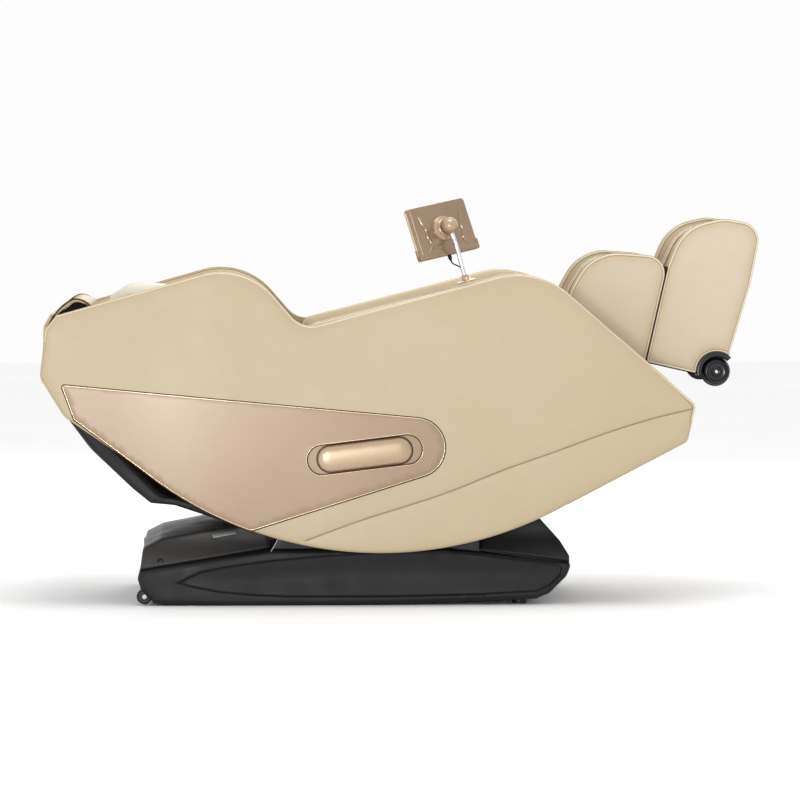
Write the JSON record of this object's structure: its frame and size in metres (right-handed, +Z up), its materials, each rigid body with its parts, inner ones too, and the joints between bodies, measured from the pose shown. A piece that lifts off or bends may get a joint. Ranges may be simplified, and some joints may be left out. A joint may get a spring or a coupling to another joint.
{
  "type": "massage chair",
  "caption": "Full-body massage chair fully reclined, with a tilting seat body on a floor base, a lifting and extending leg rest, a roller carriage in the back and a touch-screen remote.",
  "frame": {"origin": "on the floor under the middle of the base, halfway between the side panels", "axes": "+X from the head end to the foot end, +Z up; the chair's right armrest, with the remote, is on the -Y side"},
  "size_m": [1.7476, 0.756, 0.9884],
  "materials": {
    "upholstery": "smooth synthetic leather, satin",
    "leg_hide": "smooth synthetic leather, satin",
    "pillow_hide": "soft synthetic leather",
    "rose_gold": "metallic lacquer, gloss",
    "black_plastic": "fine moulded texture",
    "rubber": "satin",
    "steel": "zinc plated",
    "chrome": "polished",
    "screen": "polished"
  },
  "bodies": {
    "base": {"base_tub": "black_plastic", "base_rear_hood": "black_plastic", "base_front_hood": "black_plastic", "base_fairing_left": "black_plastic", "base_fairing_right": "black_plastic", "foot_pad_left": "rubber", "foot_pad_right": "rubber", "tilt_stand": "steel", "rear_wheel_axle": "steel", "control_box": "black_plastic", "power_inlet": "black_plastic", "tilt_actuator": "black_plastic"},
    "tilt_rod": {"tilt_actuator_rod": "steel"},
    "power_switch": {"power_switch": "black_plastic"},
    "rear_wheel_left": {"rear_wheel_left": "rubber"},
    "rear_wheel_right": {"rear_wheel_right": "rubber"},
    "seat_body": {"side_panel_left": "upholstery", "side_panel_right": "upholstery", "accent_panel_left": "rose_gold", "accent_panel_right": "rose_gold", "badge_left": "rose_gold", "badge_right": "rose_gold", "armrest_left": "upholstery", "armrest_right": "upholstery", "shoulder_wing_left": "upholstery", "shoulder_wing_right": "upholstery", "rear_cover": "black_plastic", "back_panel": "upholstery", "front_apron": "black_plastic", "seat_frame": "steel", "back_cushion": "upholstery", "head_flap": "upholstery", "back_frame": "steel", "seat_cushion": "upholstery", "track_rail_left": "steel", "track_rail_right": "steel", "remote_socket": "rose_gold"},
    "head_pillow": {"head_pillow": "pillow_hide"},
    "carriage": {"massage_carriage": "black_plastic"},
    "kneading_left": {"kneading_arm_left": "black_plastic"},
    "kneading_right": {"kneading_arm_right": "black_plastic"},
    "roller_upper_left": {"kneading_roller_upper_left": "rubber"},
    "roller_lower_left": {"kneading_roller_lower_left": "rubber"},
    "roller_upper_right": {"kneading_roller_upper_right": "rubber"},
    "roller_lower_right": {"kneading_roller_lower_right": "rubber"},
    "leg_rest": {"calf_box": "leg_hide", "knee_bracket": "steel"},
    "foot_rest": {"foot_box": "leg_hide", "slide_frame": "steel", "wheel_fender_left": "black_plastic", "wheel_fender_right": "black_plastic"},
    "foot_wheel_left": {"foot_wheel_left": "rubber"},
    "foot_wheel_right": {"foot_wheel_right": "rubber"},
    "sole_roller_left": {"sole_roller_left": "black_plastic"},
    "sole_roller_right": {"sole_roller_right": "black_plastic"},
    "remote_arm": {"remote_arm": "chrome"},
    "remote_ball": {"ball_joint": "rose_gold"},
    "remote": {"remote_housing": "rose_gold", "remote_screen": "screen", "cable_plug": "black_plastic"}
  },
  "joints": [
    {"name": "body_tilt", "type": "hinge", "parent": "base", "child": "seat_body", "pos_m": [0.1, 0, 0.3], "axis": [0, 1, 0], "range_deg": [0, 27]},
    {"name": "tilt_rod_lift", "type": "slide", "parent": "base", "child": "tilt_rod", "axis": [0, 0, 1], "range_m": [0, 0.072]},
    {"name": "leg_lift", "type": "hinge", "parent": "seat_body", "child": "leg_rest", "pos_m": [0.478, 0, 0.66], "axis": [0, 1, 0], "range_deg": [-25, 27]},
    {"name": "foot_extend", "type": "slide", "parent": "leg_rest", "child": "foot_rest", "axis": [-0.9751, 0, 0.2215], "range_m": [-0.15, 0]},
    {"name": "carriage_travel", "type": "slide", "parent": "seat_body", "child": "carriage", "axis": [-0.9537, 0, 0.3007], "range_m": [-0.15, 0.2]},
    {"name": "kneading_rock_left", "type": "hinge", "parent": "carriage", "child": "kneading_left", "pos_m": [-0.391, 0.052, 0.51505], "axis": [0, 1, 0], "range_deg": [-7, 7]},
    {"name": "roller_spin_upper_left", "type": "hinge", "parent": "kneading_left", "child": "roller_upper_left", "pos_m": [-0.46369, 0.068, 0.55055], "axis": [0, 1, 0], "continuous": true},
    {"name": "roller_spin_lower_left", "type": "hinge", "parent": "kneading_left", "child": "roller_lower_left", "pos_m": [-0.31109, 0.068, 0.50243], "axis": [0, 1, 0], "continuous": true},
    {"name": "rear_wheel_spin_left", "type": "hinge", "parent": "base", "child": "rear_wheel_left", "pos_m": [-0.513, 0.284, 0.022], "axis": [0, 1, 0], "continuous": true},
    {"name": "foot_wheel_spin_left", "type": "hinge", "parent": "foot_rest", "child": "foot_wheel_left", "pos_m": [0.88505, 0.198, 0.56148], "axis": [0, 1, 0], "continuous": true},
    {"name": "sole_roller_spin_left", "type": "hinge", "parent": "foot_rest", "child": "sole_roller_left", "pos_m": [0.9182, 0.094, 0.71188], "axis": [0, 1, 0], "continuous": true},
    {"name": "kneading_rock_right", "type": "hinge", "parent": "carriage", "child": "kneading_right", "pos_m": [-0.391, -0.052, 0.51505], "axis": [0, 1, 0], "range_deg": [-7, 7]},
    {"name": "roller_spin_upper_right", "type": "hinge", "parent": "kneading_right", "child": "roller_upper_right", "pos_m": [-0.46369, -0.068, 0.55055], "axis": [0, 1, 0], "continuous": true},
    {"name": "roller_spin_lower_right", "type": "hinge", "parent": "kneading_right", "child": "roller_lower_right", "pos_m": [-0.31109, -0.068, 0.50243], "axis": [0, 1, 0], "continuous": true},
    {"name": "rear_wheel_spin_right", "type": "hinge", "parent": "base", "child": "rear_wheel_right", "pos_m": [-0.513, -0.284, 0.022], "axis": [0, 1, 0], "continuous": true},
    {"name": "foot_wheel_spin_right", "type": "hinge", "parent": "foot_rest", "child": "foot_wheel_right", "pos_m": [0.88505, -0.198, 0.56148], "axis": [0, 1, 0], "continuous": true},
    {"name": "sole_roller_spin_right", "type": "hinge", "parent": "foot_rest", "child": "sole_roller_right", "pos_m": [0.9182, -0.094, 0.71188], "axis": [0, 1, 0], "continuous": true},
    {"name": "head_pillow_flip", "type": "hinge", "parent": "seat_body", "child": "head_pillow", "pos_m": [-0.64922, 0, 0.73697], "axis": [0, -1, 0], "range_deg": [0, 70]},
    {"name": "power_switch_rock", "type": "hinge", "parent": "base", "child": "power_switch", "pos_m": [-0.514, 0.171, 0.115], "axis": [0, 1, 0], "range_deg": [0, 12]},
    {"name": "remote_arm_swivel", "type": "hinge", "parent": "seat_body", "child": "remote_arm", "pos_m": [0.267, -0.3, 0.784], "axis": [-0.2588, 0, 0.9659], "range_deg": [-45, 45]},
    {"name": "remote_pan", "type": "hinge", "parent": "remote_arm", "child": "remote_ball", "pos_m": [0.227, -0.3, 0.921], "axis": [0, 0, 1], "range_deg": [-18, 30]},
    {"name": "remote_tilt", "type": "hinge", "parent": "remote_ball", "child": "remote", "pos_m": [0.227, -0.3, 0.921], "axis": [0.8013, 0.5736, 0.1703], "range_deg": [-4, 14]}
  ],
  "couplings": [
    {"joint": "tilt_rod_lift", "follows": "body_tilt", "m_per_rad": 0.151}
  ]
}
